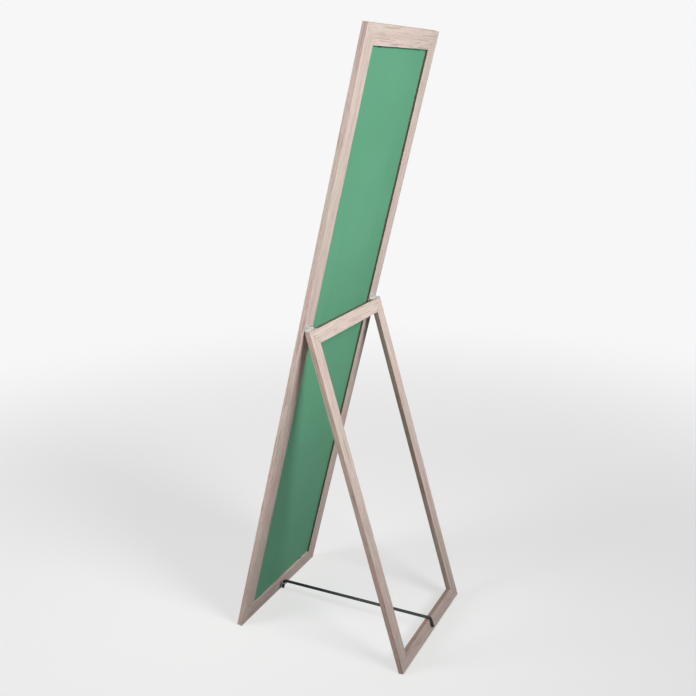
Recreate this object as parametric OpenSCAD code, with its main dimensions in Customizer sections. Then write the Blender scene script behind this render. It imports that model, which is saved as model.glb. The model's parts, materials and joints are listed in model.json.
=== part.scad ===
// Free-standing board easel: a tall framed writing panel that leans back,
// held by a hinged leg frame and a lift-off steel stay rod.
// +Z is up, the writing side faces -Y, the leg frame stands at +Y.
// The origin is on the floor, at the middle of the footprint.
// Left and right are as seen by a person who reads the board.

/* [Board frame] */
// Outside width of the board frame
board_w = 400; // [340:1:520]
// Outside height of the board frame, measured along its slope
board_h = 1600; // [1400:5:1800]
// Thickness of the board frame moulding
board_t = 14; // [13:0.5:18]
// Width of the moulding's back face
board_face = 45; // [42:1:60]
// Width of the lip that holds the panel from the front
lip_w = 6; // [5:0.5:8]
// Thickness of that lip
lip_t = 5; // [4:0.5:5]
// Lean of the board from the vertical, in degrees
board_lean = 14.7; // [13:0.1:16]
// Radius of the eased arrises on all mouldings
arris_r = 1; // [0.5:0.1:1.5]
// Glue line left at each mitre
glue_line = 0.3; // [0.1:0.05:0.4]

/* [Writing panel] */
// Thickness of the writing panel
panel_t = 4; // [3:0.5:4]
// Gap between the panel's edge and the rebate wall
panel_gap = 1; // [0.5:0.1:1.5]
// Number of retaining points along each stile
stile_points = 5; // [3:1:7]
// Distance of the top and bottom retaining points from the middle
rail_point_x = 110; // [60:1:130]

/* [Leg frame] */
// Outside width of the leg frame
leg_w = 392; // [380:1:396]
// Thickness of the leg frame moulding
leg_t = 14; // [14:0.5:18]
// Width of the leg frame moulding
leg_face = 36; // [30:1:38]
// Lean of the leg frame from the vertical, in degrees
leg_lean = 15.6; // [14.5:0.1:17]
// Height of the hinge axis, measured along the board
hinge_v = 897; // [800:1:1000]

/* [Hinges] */
// Width of each hinge along its pin
hinge_w = 38; // [32:1:40]
// Length of each leaf, from the middle of the pin
leaf_l = 11; // [10:0.5:11.5]
// Thickness of the leaves
leaf_t = 1.2; // [1:0.1:1.5]
// Outside radius of the knuckles
knuckle_r = 2.6; // [2.4:0.1:3]
// Radius of the hinge pin
pin_r = 1.3; // [1:0.1:1.5]
// Distance from the board's middle to each hinge's middle
hinge_x = 176.5; // [150:0.5:177]
// Distance between the two screws of a leaf
screw_pitch = 21; // [18:1:24]

/* [Stay rod] */
// Diameter of the stay rod
rod_d = 8; // [7:0.5:8]
// Radius of the rod's bends, to the middle of the rod
bend_r = 5.5; // [5:0.5:6]
// Length of each turned-down end, from the corner of the bend
hook_l = 25; // [22:1:26]
// Height of the rod's board end, measured along the board
rod_v = 38; // [37:0.5:42]
// Distance from the board's back face to the rod's turned-down end
eye_reach = 9.6; // [9.5:0.1:10]
// Inside radius of the screw eye's ring
eye_r = 5.3; // [5:0.1:5.4]
// Radius of the screw eye's wire
eye_wire_r = 1.5; // [1.2:0.1:1.5]

/* [Hidden] */
$fn = 48;

// Colours
wood = [0.76, 0.68, 0.64];
green = [0.30, 0.52, 0.40];
zinc = [0.82, 0.83, 0.85];
black_steel = [0.17, 0.18, 0.19];

// Overlap that keeps cutting shapes clear of the faces they cut
cut = 1;
// Slack between a hinge part and what it turns against
turn_gap = 0.3;
// Radial clearance of the pins in their knuckles and of the screws in their holes
pin_gap = 0.05;

// Board frame: total moulding width, and the panel that drops into the rebate
board_total = board_face + lip_w;
panel_back = board_t - lip_t - panel_t;
panel_w = board_w - 2 * (board_face + panel_gap);
panel_h = board_h - 2 * (board_face + panel_gap);
// The eased lower arris touches the floor at this height below the sharp corner's place
board_drop = arris_r * (cos(board_lean) + sin(board_lean) - 1);

// Hinge axis, in the side plane, measured from the board's lower back arris
axis_off = knuckle_r + turn_gap;
axis_y = hinge_v * sin(board_lean) + axis_off * cos(board_lean);
axis_z = hinge_v * cos(board_lean) - axis_off * sin(board_lean) - board_drop;
// Leg frame, measured from the hinge axis: top end, front face and length
leg_top = knuckle_r + turn_gap;
leg_front = 2.1;
leg_foot = (axis_z + (arris_r - leg_front) * sin(leg_lean) - arris_r) / cos(leg_lean) + arris_r;
leg_h = leg_foot - leg_top;
// Knuckles: three across the hinge, the middle one on the leg's leaf
knuckle_w = hinge_w / 3;
// The pin stands out of the knuckles by this much at each end
pin_proud = 0.5;

// Screws
screw_head_r = 2.6;
screw_r = 1.3;
screw_l = 11;
recess_l = 3;
recess_w = 0.7;
recess_d = 0.6;
// Distance of the screws from the middle of the pin, on both leaves
screw_run = 7;

// Mitre nails and panel retaining points
nail_leg = 5;
nail_t = 0.5;
nail_depth = 9;
board_nails = [14, 31];
leg_nails = [11, 24];
point_w = 6;
point_l = 12;
point_t = 0.6;
point_grip = 8;

// Stay rod: its corner points and angles, in the side plane
rod_r = rod_d / 2;
rod_clear = 0.4;
bend_thin = 0.05;
bend_lap = 5;
// Height of the rod's corner over the leg rail's inner edge, without the clearance
corner_lift = 2.8;
// Distance from the rod's other corner down to the middle of the eye's ring
eye_drop = 6.5;
start_y = rod_v * sin(board_lean) + eye_reach * cos(board_lean);
start_z = rod_v * cos(board_lean) - eye_reach * sin(board_lean) - board_drop;
hook_m = leg_t - leg_front + rod_r + rod_clear;
hook_w = leg_foot - leg_face - rod_clear - corner_lift;
end_y = axis_y + hook_w * sin(leg_lean) + hook_m * cos(leg_lean);
end_z = axis_z - hook_w * cos(leg_lean) + hook_m * sin(leg_lean);
rod_run = norm([end_y - start_y, end_z - start_z]);
rod_rise = atan2(end_z - start_z, end_y - start_y);
board_turn = 90 - board_lean - rod_rise;
leg_turn = 90 - leg_lean + rod_rise;
eye_v = rod_v - eye_drop;

// Middle of the footprint, from the board's front lower arris to the leg's back foot
front_y = -board_t * cos(board_lean);
back_y = axis_y + leg_foot * sin(leg_lean) + (leg_t - leg_front) * cos(leg_lean);
mid_y = (front_y + back_y) / 2;

// Places its children in the side-plane frame used above
module on_floor() {
    translate([0, -mid_y, 0]) children();
}

// Board frame space: X across, Y up the board, Z from the back face to the writing side
module board_space() {
    on_floor() translate([0, 0, -board_drop]) rotate([90 - board_lean, 0, 0]) children();
}

// Leg frame space: Y up the leg from the hinge axis, Z towards the board
module leg_space() {
    on_floor() translate([0, axis_y, axis_z]) rotate([90 + leg_lean, 0, 0]) children();
}

// Flat strip with eased corners
module eased_strip(w, t) {
    translate([arris_r, 0]) square([w - 2 * arris_r, t]);
    translate([0, arris_r]) square([w, t - 2 * arris_r]);
    for (x = [arris_r, w - arris_r], y = [arris_r, t - arris_r]) translate([x, y]) circle(arris_r);
}

// Board moulding: outer edge at 0, back face at 0, rebate on the inner back edge
module board_section() {
    difference() {
        eased_strip(board_total, board_t);
        translate([board_face, -cut]) square([lip_w + cut, board_t - lip_t + cut]);
    }
}

module leg_section() {
    translate([0, -(leg_t - leg_front)]) eased_strip(leg_face, leg_t);
}

// One moulding of a given section along Y, mitred at both ends, outer edge at X = 0
module mitred(len, face, deep) {
    g = glue_line / sqrt(2);
    intersection() {
        translate([0, len, 0]) rotate([90, 0, 0]) linear_extrude(len) children();
        translate([0, 0, -deep]) linear_extrude(2 * deep)
            polygon([[-cut, g - cut], [face + cut, face + cut + g],
                     [face + cut, len - face - cut - g], [-cut, len + cut - g]]);
    }
}

// The four places of a moulding round a frame of width w and height h
module at_left(w) {
    translate([-w / 2, 0, 0]) children();
}
module at_right(w) {
    mirror([1, 0, 0]) at_left(w) children();
}
module at_bottom(w) {
    translate([-w / 2, 0, 0]) mirror([0, 1, 0]) rotate([0, 0, -90]) children();
}
module at_top(w, h) {
    translate([0, h, 0]) mirror([0, 1, 0]) at_bottom(w) children();
}

// Bent plates driven across the mitres, at distances p in from each corner
module corner_nails(w, h, places) {
    for (sx = [0, 1], sy = [0, 1])
        translate([0, h / 2, 0]) mirror([sx, 0, 0]) mirror([0, sy, 0])
            for (p = places) translate([p - w / 2, p - h / 2, 0]) {
                translate([-nail_leg, -nail_t / 2, 0]) cube([nail_leg + nail_t / 2, nail_t, nail_depth]);
                translate([-nail_t / 2, -nail_leg, 0]) cube([nail_t, nail_leg, nail_depth]);
            }
}

module board_nail_set() {
    board_space() corner_nails(board_w, board_h, board_nails);
}

module leg_nail_set() {
    leg_space() translate([0, -leg_foot, leg_front - nail_depth]) corner_nails(leg_w, leg_h, leg_nails);
}

// Flat steel point: the sharp end goes into the rebate wall, the blunt end over the panel
module panel_point() {
    half_w = point_w / 2;
    shoulder = half_w - point_grip;
    blunt = point_l - point_grip;
    linear_extrude(point_t)
        polygon([[-point_grip, 0], [shoulder, -half_w], [blunt, -half_w],
                 [blunt, half_w], [shoulder, half_w]]);
}

module point_set() {
    board_space() translate([0, 0, panel_back - point_t]) {
        for (side = [0, 1]) mirror([side, 0, 0])
            for (i = [0:stile_points - 1])
                translate([board_face - board_w / 2, board_h * (i + 0.5) / stile_points, 0]) panel_point();
        for (x = [-rail_point_x, rail_point_x]) {
            translate([x, board_face, 0]) rotate([0, 0, 90]) panel_point();
            translate([x, board_h - board_face, 0]) rotate([0, 0, -90]) panel_point();
        }
    }
}

// Countersunk screw with a cross recess: the top of its head at Z = 0, point downwards.
// extra widens it, to cut the hole that it sits in.
module screw(extra) {
    translate([0, 0, -leaf_t]) cylinder(h = leaf_t, r1 = screw_r + extra, r2 = screw_head_r + extra);
    translate([0, 0, -screw_l]) cylinder(h = screw_l, r = screw_r + extra);
}

module finished_screw() {
    difference() {
        screw(0);
        for (a = [0, 90]) rotate([0, 0, a])
            translate([-recess_l / 2, -recess_w / 2, -recess_d]) cube([recess_l, recess_w, recess_d + cut]);
    }
}

// Places of the screws in the board's stiles and in the leg's top rail
module at_board_screws(sides) {
    for (s = sides, x = [-screw_pitch / 2, screw_pitch / 2])
        board_space() translate([s * hinge_x + x, hinge_v + screw_run, -leaf_t])
            rotate([180, 0, 0]) children();
}

module at_leg_screws(sides) {
    for (s = sides, x = [-screw_pitch / 2, screw_pitch / 2])
        leg_space() translate([s * hinge_x + x, -leg_top + leaf_t, -screw_run])
            rotate([-90, 0, 0]) children();
}

// Board frame
module board_moulding(len) {
    mitred(len, board_total, 2 * board_t) board_section();
}

module board_left_stile() {
    color(wood) difference() {
        board_space() at_left(board_w) board_moulding(board_h);
        point_set();
        board_nail_set();
        at_board_screws([-1]) screw(pin_gap);
    }
}

module board_right_stile() {
    color(wood) difference() {
        board_space() at_right(board_w) board_moulding(board_h);
        point_set();
        board_nail_set();
        at_board_screws([1]) screw(pin_gap);
    }
}

module board_top_rail() {
    color(wood) difference() {
        board_space() at_top(board_w, board_h) board_moulding(board_w);
        point_set();
        board_nail_set();
    }
}

module board_bottom_rail() {
    color(wood) difference() {
        board_space() at_bottom(board_w) board_moulding(board_w);
        point_set();
        board_nail_set();
        eye_shank(pin_gap);
    }
}

module writing_panel() {
    color(green) board_space()
        translate([-panel_w / 2, (board_h - panel_h) / 2, panel_back]) cube([panel_w, panel_h, panel_t]);
}

module panel_points() {
    color(zinc) point_set();
}

module board_corner_nails() {
    color(zinc) board_nail_set();
}

// Leg frame
module leg_moulding(len) {
    mitred(len, leg_face, 2 * leg_t) leg_section();
}

module leg_member_space() {
    leg_space() translate([0, -leg_foot, 0]) children();
}

module leg_left_stile() {
    color(wood) difference() {
        leg_member_space() at_left(leg_w) leg_moulding(leg_h);
        leg_nail_set();
        at_leg_screws([-1]) screw(pin_gap);
    }
}

module leg_right_stile() {
    color(wood) difference() {
        leg_member_space() at_right(leg_w) leg_moulding(leg_h);
        leg_nail_set();
        at_leg_screws([1]) screw(pin_gap);
    }
}

module leg_top_rail() {
    color(wood) difference() {
        leg_member_space() at_top(leg_w, leg_h) leg_moulding(leg_w);
        leg_nail_set();
        at_leg_screws([-1, 1]) screw(pin_gap);
    }
}

module leg_bottom_rail() {
    color(wood) difference() {
        leg_member_space() at_bottom(leg_w) leg_moulding(leg_w);
        leg_nail_set();
    }
}

module leg_corner_nails() {
    color(zinc) leg_nail_set();
}

// Hinges: knuckle number k of three, counted from the left, without its bore
module knuckle(k) {
    translate([(k - 1.5) * knuckle_w + turn_gap / 2, 0, 0])
        rotate([0, 90, 0]) cylinder(h = knuckle_w - turn_gap, r = knuckle_r);
}

module pin_bore() {
    rotate([0, 90, 0]) cylinder(h = hinge_w + 2 * cut, r = pin_r + pin_gap, center = true);
}

// Board leaf: flat on the board's back face, with the two outer knuckles
module board_leaf(side) {
    color(zinc) difference() {
        board_space() translate([side * hinge_x, hinge_v, 0]) difference() {
            union() {
                translate([-hinge_w / 2, 0, -leaf_t]) cube([hinge_w, leaf_l, leaf_t]);
                translate([0, 0, -axis_off]) knuckle(0);
                translate([0, 0, -axis_off]) knuckle(2);
            }
            translate([-knuckle_w / 2 - turn_gap / 2, -cut, -leaf_t - cut])
                cube([knuckle_w + turn_gap, knuckle_r + turn_gap + cut, leaf_t + 2 * cut]);
            translate([0, 0, -axis_off]) pin_bore();
        }
        at_board_screws([side]) screw(pin_gap);
    }
}

// Leg leaf: flat on the leg frame's top end, with the middle knuckle
module leg_leaf(side) {
    notch_w = knuckle_w + turn_gap;
    notch_d = knuckle_r + turn_gap;
    color(zinc) difference() {
        leg_space() translate([side * hinge_x, 0, 0]) difference() {
            union() {
                translate([-hinge_w / 2, -leg_top, -leaf_l]) cube([hinge_w, leaf_t, leaf_l]);
                knuckle(1);
            }
            for (s = [-1, 1])
                translate([s * knuckle_w - notch_w / 2, -leg_top - cut, -notch_d])
                    cube([notch_w, leaf_t + 2 * cut, notch_d + cut]);
            pin_bore();
        }
        at_leg_screws([side]) screw(pin_gap);
    }
}

module hinge_pin(side) {
    color(zinc) on_floor() translate([side * hinge_x, axis_y, axis_z])
        rotate([0, 90, 0]) cylinder(h = hinge_w + 2 * pin_proud, r = pin_r, center = true);
}

module left_hinge_board_leaf() { board_leaf(-1); }
module right_hinge_board_leaf() { board_leaf(1); }
module left_hinge_leg_leaf() { leg_leaf(-1); }
module right_hinge_leg_leaf() { leg_leaf(1); }
module left_hinge_pin() { hinge_pin(-1); }
module right_hinge_pin() { hinge_pin(1); }

module hinge_board_screws() {
    color(zinc) at_board_screws([-1, 1]) finished_screw();
}

module hinge_leg_screws() {
    color(zinc) at_leg_screws([-1, 1]) finished_screw();
}

// Screw eye: a ring across the board's slope on a shank screwed into the bottom rail
module eye_shank(extra) {
    board_space() translate([0, eye_v, eye_wire_r - eye_reach + eye_r])
        cylinder(h = eye_reach - eye_r - eye_wire_r + screw_l, r = eye_wire_r + extra);
}

module rod_eye() {
    color(zinc) union() {
        board_space() translate([0, eye_v, -eye_reach]) rotate([-90, 0, 0])
            rotate_extrude() translate([eye_r + eye_wire_r, 0]) circle(eye_wire_r);
        eye_shank(0);
    }
}

// Straight length of rod along +X
module bar(len) {
    rotate([0, 90, 0]) cylinder(h = len, r = rod_r);
}

// One end of the rod, from a corner at the origin: the run leaves along +X,
// the turned-down end makes the given turn from -X towards -Y.
// The bend is a little thinner than the rod and laps into the straight lengths.
module rod_end(turn) {
    set_back = bend_r * tan(turn / 2);
    translate([set_back, -bend_r, 0]) rotate([0, 0, 90 - bend_lap])
        rotate_extrude(angle = turn + 2 * bend_lap) translate([bend_r, 0]) circle(rod_r - bend_thin);
    rotate([0, 0, 180 + turn]) translate([set_back, 0, 0]) bar(hook_l - set_back);
}

// Side-plane space: X is the way the rod runs, from the board to the leg, Y is up
module rod_space() {
    on_floor() translate([0, start_y, start_z]) rotate([rod_rise, 0, 0])
        rotate([90, 0, 90]) children();
}

module stay_rod() {
    from_x = bend_r * tan(board_turn / 2);
    to_x = rod_run - bend_r * tan(leg_turn / 2);
    color(black_steel) rod_space() {
        translate([from_x, 0, 0]) bar(to_x - from_x);
        rod_end(board_turn);
        translate([rod_run, 0, 0]) mirror([1, 0, 0]) rod_end(leg_turn);
    }
}

board_left_stile();
board_right_stile();
board_top_rail();
board_bottom_rail();
writing_panel();
panel_points();
board_corner_nails();
leg_left_stile();
leg_right_stile();
leg_top_rail();
leg_bottom_rail();
leg_corner_nails();
left_hinge_board_leaf();
left_hinge_leg_leaf();
left_hinge_pin();
right_hinge_board_leaf();
right_hinge_leg_leaf();
right_hinge_pin();
hinge_board_screws();
hinge_leg_screws();
rod_eye();
stay_rod();
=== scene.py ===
"""Looks of a free-standing green writing board in a pale oak frame, with a hinged leg frame and a stay rod.

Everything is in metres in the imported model's own frame: +Z up, writing side to -Y, leg frame at +Y.
"""
import json
import math

import bmesh
import bpy
from mathutils import Matrix, Vector


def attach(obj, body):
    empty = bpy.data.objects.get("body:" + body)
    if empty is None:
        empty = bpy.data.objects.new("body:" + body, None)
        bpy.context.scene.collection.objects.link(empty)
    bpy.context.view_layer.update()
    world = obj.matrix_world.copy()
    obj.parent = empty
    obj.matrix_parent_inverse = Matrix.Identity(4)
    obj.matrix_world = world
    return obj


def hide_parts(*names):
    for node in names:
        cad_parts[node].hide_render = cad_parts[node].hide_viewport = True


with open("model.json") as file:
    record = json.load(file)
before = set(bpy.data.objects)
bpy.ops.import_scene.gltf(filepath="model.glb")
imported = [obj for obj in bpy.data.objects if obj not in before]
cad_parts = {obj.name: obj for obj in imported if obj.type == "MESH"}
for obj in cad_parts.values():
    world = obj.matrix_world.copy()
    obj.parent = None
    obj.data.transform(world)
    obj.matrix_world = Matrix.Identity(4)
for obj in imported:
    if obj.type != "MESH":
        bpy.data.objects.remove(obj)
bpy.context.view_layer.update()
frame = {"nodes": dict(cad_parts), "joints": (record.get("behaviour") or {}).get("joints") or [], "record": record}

MM = 0.001
JOINTS = {joint["name"]: joint for joint in frame["joints"]}
ACROSS = Vector((1, 0, 0))
BOARD_UP = Vector(JOINTS["rod_lift"]["axis"])
BOARD_OUT = Vector((0, BOARD_UP.z, -BOARD_UP.y))
LEG_LEAN = math.radians(15.6)
LEG_UP = Vector((0, -math.sin(LEG_LEAN), math.cos(LEG_LEAN)))
# How far the board's front face is along BOARD_OUT, and the thickness of the lip behind it
FRONT_FACE = Vector(frame["record"]["mounts"][0]["pos_m"]).dot(BOARD_OUT)
LIP = 5 * MM

# Brightness of the backdrop, how much of it the floor has near the object, and the distances
# between which the floor turns into the backdrop altogether
BACKDROP = 0.93
FLOOR_GLOW = 0.6
FLOOR_FADE = (0.6, 3.2)
FLOOR_SIZE = 14

# Strength of the light from the sky at these heights in the sky (0 level, 1 straight up)
SKY_HEIGHTS = (0.2, 0.9)
SKY_STRENGTHS = (0.14, 0.32)

# The photograph's camera, solved from the corners of both frames (degrees, mm and metres)
CAMERA_HEADING = -117.0
CAMERA_PITCH = -15.99
CAMERA_ROLL = -0.94
CAMERA_LENS = 44.3
CAMERA_SHIFT = (-0.0074, -0.0227)
CAMERA_PLACE = (1.8747, 0.9778, 1.4209)

# A CAD mesh is welded at the distance WELD, faces that meet at less than FLAT are joined, and then
# edges sharper than SHARP are eased
WELD = 0.005 * MM
FLAT = math.radians(0.6)
SHARP = math.radians(35)

# Painted shade on the edges of the mouldings, as a share of the colour of their broad faces
NO_PAINTED_SHADE = (1.0, 1.0, 1.0, 1.0)
REBATE_PAINTED_SHADE = (0.28, 0.25, 0.20, 1.0)
BOARD_OUTER_PAINTED_SHADE = (0.94, 0.92, 0.90, 1.0)
LEG_INNER_PAINTED_SHADE = (0.66, 0.58, 0.54, 1.0)
LEG_OUTER_PAINTED_SHADE = (0.74, 0.66, 0.62, 1.0)
LEG_TOP_PAINTED_SHADE = (0.38, 0.36, 0.32, 1.0)


# ---------------------------------------------------------------- node helpers

class Graph:
    """Short names for building one material's nodes."""

    def __init__(self, name):
        self.material = bpy.data.materials.new(name)
        self.material.use_nodes = True
        self.tree = self.material.node_tree
        self.shader = self.tree.nodes["Principled BSDF"]

    def add(self, kind, **settings):
        node = self.tree.nodes.new(kind)
        for key, value in settings.items():
            setattr(node, key, value)
        return node

    def feed(self, socket, value):
        if isinstance(value, bpy.types.NodeSocket):
            self.tree.links.new(value, socket)
        else:
            socket.default_value = value

    def math(self, operation, a, b=0.0, clamp=False):
        node = self.add("ShaderNodeMath", operation=operation, use_clamp=clamp)
        self.feed(node.inputs[0], a)
        self.feed(node.inputs[1], b)
        return node.outputs[0]

    def ramp(self, value, low, high, to_low=0.0, to_high=1.0):
        node = self.add("ShaderNodeMapRange", interpolation_type="SMOOTHSTEP")
        self.feed(node.inputs["Value"], value)
        ends = (("From Min", low), ("From Max", high), ("To Min", to_low), ("To Max", to_high))
        for name, number in ends:
            self.feed(node.inputs[name], number)
        return node.outputs["Result"]

    def mix(self, factor, a, b, blend="MIX"):
        node = self.add("ShaderNodeMix", data_type="RGBA", blend_type=blend)
        self.feed(node.inputs["Factor"], factor)
        self.feed(node.inputs["A"], a)
        self.feed(node.inputs["B"], b)
        return node.outputs["Result"]

    def place(self):
        return self.add("ShaderNodeTexCoord").outputs["Object"]

    def facing(self, direction):
        """1 on surfaces that face along direction, 0 on those that don't."""
        normal = self.add("ShaderNodeTexCoord").outputs["Normal"]
        return self.ramp(self.along(normal, direction), 0.55, 0.9)

    def along(self, place, direction):
        node = self.add("ShaderNodeVectorMath", operation="DOT_PRODUCT")
        self.feed(node.inputs[0], place)
        self.feed(node.inputs[1], tuple(direction))
        return node.outputs["Value"]

    def vector(self, x, y, z):
        node = self.add("ShaderNodeCombineXYZ")
        for socket, value in zip(node.inputs, (x, y, z)):
            self.feed(socket, value)
        return node.outputs[0]

    def noise(self, vector, scale, detail=3.0, roughness=0.5, distortion=0.0):
        node = self.add("ShaderNodeTexNoise")
        self.feed(node.inputs["Vector"], vector)
        self.feed(node.inputs["Scale"], scale)
        self.feed(node.inputs["Detail"], detail)
        self.feed(node.inputs["Roughness"], roughness)
        self.feed(node.inputs["Distortion"], distortion)
        return node.outputs[0]

    def bump(self, height, depth, strength=1.0):
        node = self.add("ShaderNodeBump")
        self.feed(node.inputs["Height"], height)
        self.feed(node.inputs["Distance"], depth)
        self.feed(node.inputs["Strength"], strength)
        return node.outputs["Normal"]


def rgb(red, green, blue):
    """A colour given as 0-255 display values, as the shader wants it."""
    def linear(value):
        value /= 255
        return value / 12.92 if value <= 0.04045 else ((value + 0.055) / 1.055) ** 2.4
    return (linear(red), linear(green), linear(blue), 1.0)


# ---------------------------------------------------------------- materials

def pale_oak(name, grain, inward, inner_painted_shade, outer_painted_shade, seed):
    """Bleached oak: soft bands, short dark streaks and fine pores that run along the moulding.
    The edges that face into the frame and out of it are painted darker than the broad faces, as painted shade."""
    g = Graph(name)
    place = g.place()
    run = g.math("ADD", g.along(place, grain), seed)
    side = g.math("ADD", g.along(place, inward), 0.37 * seed)
    deep = g.along(place, grain.cross(inward))

    def stretched(length, width, detail, roughness=0.5):
        """Noise whose spots are about length long and width wide, in metres."""
        return g.noise(g.vector(g.math("DIVIDE", run, length), g.math("DIVIDE", bent, width),
                                g.math("DIVIDE", deep, width)), 1.0, detail, roughness)

    wander = g.noise(g.vector(g.math("MULTIPLY", run, 2.5), g.math("MULTIPLY", side, 5.0), seed),
                     1.0, 1.0)
    bent = g.math("ADD", side, g.math("MULTIPLY", g.math("SUBTRACT", wander, 0.5), 0.010))
    bands = stretched(0.42, 0.012, 2.0)
    streaks = stretched(0.070, 0.0022, 2.0, 0.55)
    flecks = stretched(0.022, 0.0011, 1.0)
    pores = stretched(0.012, 0.0005, 1.0)
    tint = g.noise(g.vector(g.math("MULTIPLY", run, 5.0), g.math("MULTIPLY", side, 22.0), seed),
                   1.0, 1.0)
    colour = g.mix(g.ramp(tint, 0.35, 0.65), rgb(203, 189, 179), rgb(208, 187, 181))
    colour = g.mix(g.ramp(bands, 0.40, 0.66, 0.0, 0.45), colour, rgb(184, 166, 155))
    colour = g.mix(g.ramp(streaks, 0.50, 0.68, 0.0, 0.70), colour, rgb(160, 140, 129))
    colour = g.mix(g.ramp(flecks, 0.60, 0.72, 0.0, 0.45), colour, rgb(150, 130, 120))
    pore_mask = g.ramp(pores, 0.60, 0.70)
    colour = g.mix(g.math("MULTIPLY", pore_mask, 0.35), colour, rgb(132, 112, 102))
    # Painted shade: faces that look into the frame behind the lip, and faces that look out of it, are multiplied
    # darker
    behind_lip = g.ramp(g.along(place, BOARD_OUT), FRONT_FACE + LIP, FRONT_FACE + LIP + MM)
    inner = g.math("MULTIPLY", g.facing(inward), behind_lip)
    colour = g.mix(inner, colour, inner_painted_shade, "MULTIPLY")
    colour = g.mix(g.facing(-inward), colour, outer_painted_shade, "MULTIPLY")
    g.feed(g.shader.inputs["Base Color"], colour)
    g.feed(g.shader.inputs["Roughness"], g.ramp(streaks, 0.35, 0.7, 0.52, 0.66))
    height = g.math("SUBTRACT", g.math("MULTIPLY", streaks, 0.5), pore_mask)
    g.feed(g.shader.inputs["Normal"], g.bump(height, 0.00012, 0.6))
    g.shader.inputs["Specular IOR Level"].default_value = 0.3
    return g.material


def green_coat():
    """Satin green coating on a rigid sheet, with a faint orange-peel and uneven laying-on."""
    g = Graph("green_coat")
    place = g.place()
    broad = g.noise(place, 3.2, 2.0)
    strokes = g.noise(g.vector(g.math("MULTIPLY", g.along(place, ACROSS), 26.0),
                               g.math("MULTIPLY", g.along(place, BOARD_UP), 1.6), 0.0), 1.0, 3.0)
    peel = g.noise(place, 900.0, 2.0)
    specks = g.noise(place, 420.0, 1.0)
    colour = g.mix(g.ramp(broad, 0.35, 0.65), rgb(92, 153, 121), rgb(97, 158, 126))
    colour = g.mix(g.ramp(strokes, 0.45, 0.75, 0.0, 0.25), colour, rgb(86, 148, 116))
    colour = g.mix(g.ramp(specks, 0.74, 0.80, 0.0, 0.35), colour, rgb(150, 186, 163))
    g.feed(g.shader.inputs["Base Color"], colour)
    g.feed(g.shader.inputs["Roughness"], g.ramp(broad, 0.3, 0.7, 0.36, 0.46))
    g.feed(g.shader.inputs["Normal"], g.bump(peel, 0.00003, 0.5))
    g.shader.inputs["Specular IOR Level"].default_value = 0.2
    return g.material


def plated_steel(name, colour, dull, rough, metallic):
    """Zinc-plated or plain steel with rolling marks and dull blotches."""
    g = Graph(name)
    place = g.place()
    blotch = g.noise(place, 160.0, 3.0, 0.6)
    lines = g.noise(g.vector(g.math("MULTIPLY", g.along(place, ACROSS), 120.0),
                             g.math("MULTIPLY", g.along(place, BOARD_UP), 3000.0),
                             g.math("MULTIPLY", g.along(place, BOARD_OUT), 3000.0)), 1.0, 2.0)
    g.feed(g.shader.inputs["Base Color"], g.mix(g.ramp(blotch, 0.4, 0.7), colour, dull))
    g.feed(g.shader.inputs["Roughness"], g.ramp(blotch, 0.3, 0.7, rough, rough + 0.18))
    g.feed(g.shader.inputs["Normal"], g.bump(lines, 0.00002, 0.5))
    g.shader.inputs["Metallic"].default_value = metallic
    return g.material


def black_steel():
    """Black-finished rod: satin, with lighter rub marks and a little grain."""
    g = Graph("black_steel")
    place = g.place()
    rub = g.noise(g.vector(g.math("MULTIPLY", g.along(place, ACROSS), 300.0),
                           g.math("MULTIPLY", g.along(place, Vector((0, 1, 0))), 40.0),
                           g.math("MULTIPLY", g.along(place, Vector((0, 0, 1))), 300.0)), 1.0, 3.0, 0.6)
    grit = g.noise(place, 2200.0, 2.0)
    colour = g.mix(g.ramp(rub, 0.5, 0.78, 0.0, 0.7), rgb(62, 64, 68), rgb(104, 104, 105))
    g.feed(g.shader.inputs["Base Color"], colour)
    g.feed(g.shader.inputs["Roughness"], g.ramp(rub, 0.3, 0.7, 0.34, 0.5))
    g.feed(g.shader.inputs["Normal"], g.bump(grit, 0.00003, 0.5))
    g.shader.inputs["Metallic"].default_value = 0.35
    return g.material


def floor_paint():
    """Pale matt floor that fades into the backdrop. Only the camera sees it so pale: light that
    bounces off it meets a darker grey, so that less is thrown back at the object."""
    g = Graph("floor_paint")
    place = g.place()
    patch = g.noise(place, 1.3, 3.0)
    reach = g.add("ShaderNodeVectorMath", operation="LENGTH")
    g.feed(reach.inputs[0], place)
    fade = g.ramp(reach.outputs["Value"], *FLOOR_FADE, FLOOR_GLOW, 1.0)
    direct = g.add("ShaderNodeLightPath").outputs["Is Camera Ray"]
    seen = g.mix(patch, rgb(240, 240, 239), rgb(246, 246, 245))
    g.feed(g.shader.inputs["Base Color"], g.mix(direct, rgb(148, 148, 148), seen))
    g.shader.inputs["Roughness"].default_value = 0.9
    g.shader.inputs["Specular IOR Level"].default_value = 0.0
    glow = g.add("ShaderNodeEmission")
    glow.inputs["Strength"].default_value = BACKDROP
    blend = g.add("ShaderNodeMixShader")
    g.feed(blend.inputs["Fac"], g.math("MULTIPLY", fade, direct))
    g.tree.links.new(g.shader.outputs[0], blend.inputs[1])
    g.tree.links.new(glow.outputs[0], blend.inputs[2])
    g.tree.links.new(blend.outputs[0], g.tree.nodes["Material Output"].inputs["Surface"])
    return g.material


# ---------------------------------------------------------------- mesh helpers

def piece(name, mesh, body, material, slot, *replaced):
    """Adds a mesh as a piece that rides on a body and stands for CAD nodes."""
    thing = bpy.data.objects.new(name, mesh)
    bpy.context.scene.collection.objects.link(thing)
    mesh.materials.clear()
    mesh.materials.append(material)
    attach(thing, body)
    if replaced:
        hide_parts(*replaced)
    return thing


def apply_modifiers(thing):
    """Turns the modifiers of a piece into mesh."""
    graph = bpy.context.evaluated_depsgraph_get()
    done = bpy.data.meshes.new_from_object(thing.evaluated_get(graph))
    old = thing.data
    thing.modifiers.clear()
    thing.data = done
    bpy.data.meshes.remove(old)


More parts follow.
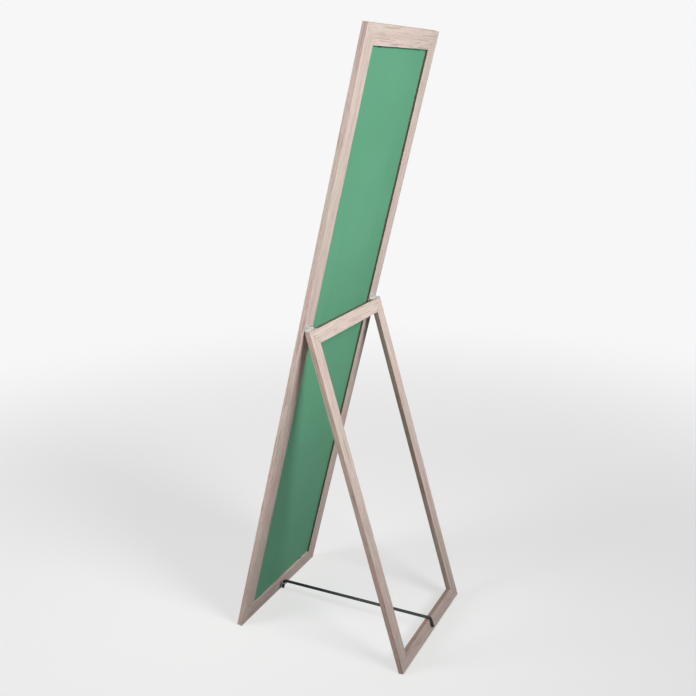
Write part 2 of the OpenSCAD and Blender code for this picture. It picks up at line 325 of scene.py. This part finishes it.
def softened(node, body, material, slot, width, segments=2):
    """A copy of a CAD node with its sharp edges eased, to stand for it."""
    mesh = frame["nodes"][node].data.copy()
    mesh.name = node + "_mesh"
    shape = bmesh.new()
    shape.from_mesh(mesh)
    bmesh.ops.remove_doubles(shape, verts=shape.verts, dist=WELD)
    bmesh.ops.dissolve_limit(shape, angle_limit=FLAT, verts=shape.verts, edges=shape.edges)
    shape.to_mesh(mesh)
    shape.free()
    if "custom_normal" in mesh.attributes:
        mesh.attributes.remove(mesh.attributes["custom_normal"])
    for face in mesh.polygons:
        face.use_smooth = True
    thing = piece(node + "_finish", mesh, body, material, slot, node)
    bevel = thing.modifiers.new("ease", "BEVEL")
    bevel.width = width
    bevel.segments = segments
    bevel.limit_method = "ANGLE"
    bevel.angle_limit = SHARP
    bevel.use_clamp_overlap = True
    bevel.harden_normals = True
    apply_modifiers(thing)
    return thing


# ---------------------------------------------------------------- the object

def dress_wood():
    """Each moulding: its grain's direction, the way into the frame, and the painted shade of its two edges."""
    members = (("board_left_stile", BOARD_UP, ACROSS, REBATE_PAINTED_SHADE, BOARD_OUTER_PAINTED_SHADE),
               ("board_right_stile", BOARD_UP, -ACROSS, REBATE_PAINTED_SHADE, BOARD_OUTER_PAINTED_SHADE),
               ("board_top_rail", ACROSS, -BOARD_UP, REBATE_PAINTED_SHADE, BOARD_OUTER_PAINTED_SHADE),
               ("board_bottom_rail", ACROSS, BOARD_UP, NO_PAINTED_SHADE, BOARD_OUTER_PAINTED_SHADE),
               ("leg_left_stile", LEG_UP, ACROSS, LEG_INNER_PAINTED_SHADE, LEG_OUTER_PAINTED_SHADE),
               ("leg_right_stile", LEG_UP, -ACROSS, LEG_INNER_PAINTED_SHADE, LEG_OUTER_PAINTED_SHADE),
               ("leg_top_rail", ACROSS, -LEG_UP, LEG_INNER_PAINTED_SHADE, LEG_TOP_PAINTED_SHADE),
               ("leg_bottom_rail", ACROSS, LEG_UP, LEG_INNER_PAINTED_SHADE, LEG_OUTER_PAINTED_SHADE))
    for number, (node, grain, inward, inner_painted_shade, outer_painted_shade) in enumerate(members):
        body = "leg_frame" if node.startswith("leg") else "board"
        seed = 1.7 * (number + 1)
        material = pale_oak(node + "_oak", grain, inward, inner_painted_shade, outer_painted_shade, seed)
        softened(node, body, material, "pale_oak", 0.45 * MM)


def dress_metal():
    zinc = plated_steel("zinc_leaf", rgb(214, 212, 209), rgb(192, 191, 190), 0.38, 0.35)
    screw_zinc = plated_steel("zinc_screw", rgb(196, 196, 197), rgb(168, 168, 170), 0.32, 0.6)
    plain = plated_steel("plain_steel", rgb(120, 118, 112), rgb(92, 90, 86), 0.42, 0.8)
    nail = plated_steel("nail_steel", rgb(176, 172, 166), rgb(150, 146, 140), 0.40, 0.5)
    for side in ("left", "right"):
        softened(side + "_hinge_board_leaf", "board", zinc, "hinge_zinc", 0.15 * MM)
        softened(side + "_hinge_leg_leaf", "leg_frame", zinc, "hinge_zinc", 0.15 * MM)
        softened(side + "_hinge_pin", "board", zinc, "hinge_zinc", 0.3 * MM, 3)
    softened("hinge_board_screws", "board", screw_zinc, "screw_zinc", 0.08 * MM)
    softened("hinge_leg_screws", "leg_frame", screw_zinc, "screw_zinc", 0.08 * MM)
    softened("rod_eye", "board", screw_zinc, "screw_zinc", 0.1 * MM)
    softened("panel_points", "board", plain, "retaining_steel", 0.05 * MM)
    softened("board_corner_nails", "board", nail, "retaining_steel", 0.03 * MM)
    softened("leg_corner_nails", "leg_frame", nail, "retaining_steel", 0.03 * MM)
    softened("stay_rod", "rod", black_steel(), "black_steel", 0.5 * MM, 3)


def dress_panel():
    softened("writing_panel", "board", green_coat(), "green_writing_coat", 0.4 * MM, 3)


# ---------------------------------------------------------------- surroundings

def make_floor():
    bpy.ops.mesh.primitive_plane_add(size=FLOOR_SIZE)
    floor = bpy.context.object
    floor.name = "floor"
    floor.data.materials.append(floor_paint())


def softbox(name, place, aim, size, power, spread):
    """A square lamp; spread is the angle of its beam in degrees."""
    light = bpy.data.lights.new(name, "AREA")
    light.shape = "SQUARE"
    light.size = size
    light.energy = power
    light.spread = math.radians(spread)
    thing = bpy.data.objects.new(name, light)
    thing.location = place
    thing.rotation_euler = (Vector(aim) - Vector(place)).to_track_quat("-Z", "Y").to_euler()
    bpy.context.scene.collection.objects.link(thing)


def make_sky():
    """Soft light that is strongest overhead; the plain backdrop is what the camera sees."""
    world = bpy.data.worlds.new("studio")
    world.use_nodes = True
    tree = world.node_tree
    sky = tree.nodes["Background"]
    height = tree.nodes.new("ShaderNodeSeparateXYZ")
    tree.links.new(tree.nodes.new("ShaderNodeTexCoord").outputs["Generated"], height.inputs[0])
    overhead = tree.nodes.new("ShaderNodeMapRange")
    overhead.interpolation_type = "SMOOTHSTEP"
    tree.links.new(height.outputs["Z"], overhead.inputs["Value"])
    for name, number in zip(("From Min", "From Max", "To Min", "To Max"), SKY_HEIGHTS + SKY_STRENGTHS):
        overhead.inputs[name].default_value = number
    seen = tree.nodes.new("ShaderNodeMix")
    tree.links.new(tree.nodes.new("ShaderNodeLightPath").outputs["Is Camera Ray"], seen.inputs["Factor"])
    tree.links.new(overhead.outputs["Result"], seen.inputs["A"])
    seen.inputs["B"].default_value = BACKDROP
    tree.links.new(seen.outputs["Result"], sky.inputs["Strength"])
    sky.inputs["Color"].default_value = (1.0, 1.0, 1.0, 1.0)
    bpy.context.scene.world = world


def make_lights():
    make_sky()
    softbox("key", (0.7, 2.4, 2.15), (0.0, 0.0, 1.1), 1.2, 14.5, 62)
    softbox("fill", (2.0, -1.9, 1.4), (0.1, 0.0, 0.95), 1.3, 14.5, 82)


def make_camera():
    """The photograph's view: behind the board, from its right-hand side, looking down a little."""
    heading, pitch, roll = (math.radians(angle) for angle in (CAMERA_HEADING, CAMERA_PITCH, CAMERA_ROLL))
    forward = Vector((math.sin(heading) * math.cos(pitch),
                      math.cos(heading) * math.cos(pitch),
                      math.sin(pitch)))
    level = forward.cross(Vector((0, 0, 1))).normalized()
    upright = level.cross(forward)
    right = math.cos(roll) * level + math.sin(roll) * upright
    up = math.cos(roll) * upright - math.sin(roll) * level
    data = bpy.data.cameras.new("camera")
    data.sensor_width = 36
    data.lens = CAMERA_LENS
    data.shift_x, data.shift_y = CAMERA_SHIFT
    camera = bpy.data.objects.new("camera", data)
    turn = Matrix((right, up, -forward)).transposed().to_4x4()
    camera.matrix_world = Matrix.Translation(CAMERA_PLACE) @ turn
    bpy.context.scene.collection.objects.link(camera)
    bpy.context.scene.camera = camera


make_camera()
make_lights()
make_floor()
dress_wood()
dress_panel()
dress_metal()
bpy.context.scene.view_settings.view_transform = "Standard"
